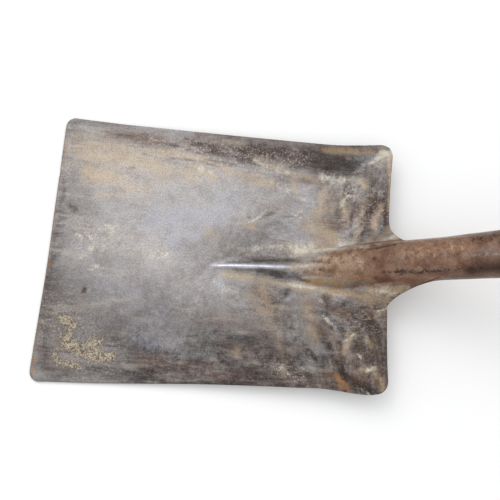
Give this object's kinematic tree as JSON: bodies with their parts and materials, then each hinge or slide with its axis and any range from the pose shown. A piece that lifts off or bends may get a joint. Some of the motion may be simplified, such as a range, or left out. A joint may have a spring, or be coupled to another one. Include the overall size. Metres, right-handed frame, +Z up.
{
  "type": "short-handled square-mouth shovel",
  "caption": "Short shovel with a forged square-mouth blade, a riveted socket, a bent ash shaft and a D-shaped iron head with a turned wooden grip.",
  "frame": {"origin": "middle of the flat underside of the blade", "axes": "+X from the mouth of the blade towards the grip, +Z up out of the pan, +Y to the user's left; the blade lies flat on Z = 0 and the shaft lies in the plane Y = 0"},
  "size_m": [0.983, 0.2425, 0.3016],
  "materials": {
    "forged_steel": "hand-forged steel with a mottled brown and grey patina, pits and a worn mouth",
    "ash_shaft": "oiled ash, darkened and polished by hands",
    "grip_wood": "turned ash, dark and polished by hands",
    "head_iron": "black japanned malleable iron, worn to metal on its edges",
    "rivet_steel": "peened mild steel, dull with light rust"
  },
  "bodies": {
    "root": {"blade": "forged_steel", "shaft": "ash_shaft", "socket_rivet_lower": "rivet_steel", "socket_rivet_upper": "rivet_steel", "socket_burr_lower": "rivet_steel", "socket_burr_upper": "rivet_steel", "head_yoke": "head_iron", "head_rivet": "rivet_steel", "head_burr": "rivet_steel", "grip": "grip_wood", "grip_rod": "rivet_steel", "grip_washer_left": "rivet_steel", "grip_washer_right": "rivet_steel"}
  },
  "joints": []
}
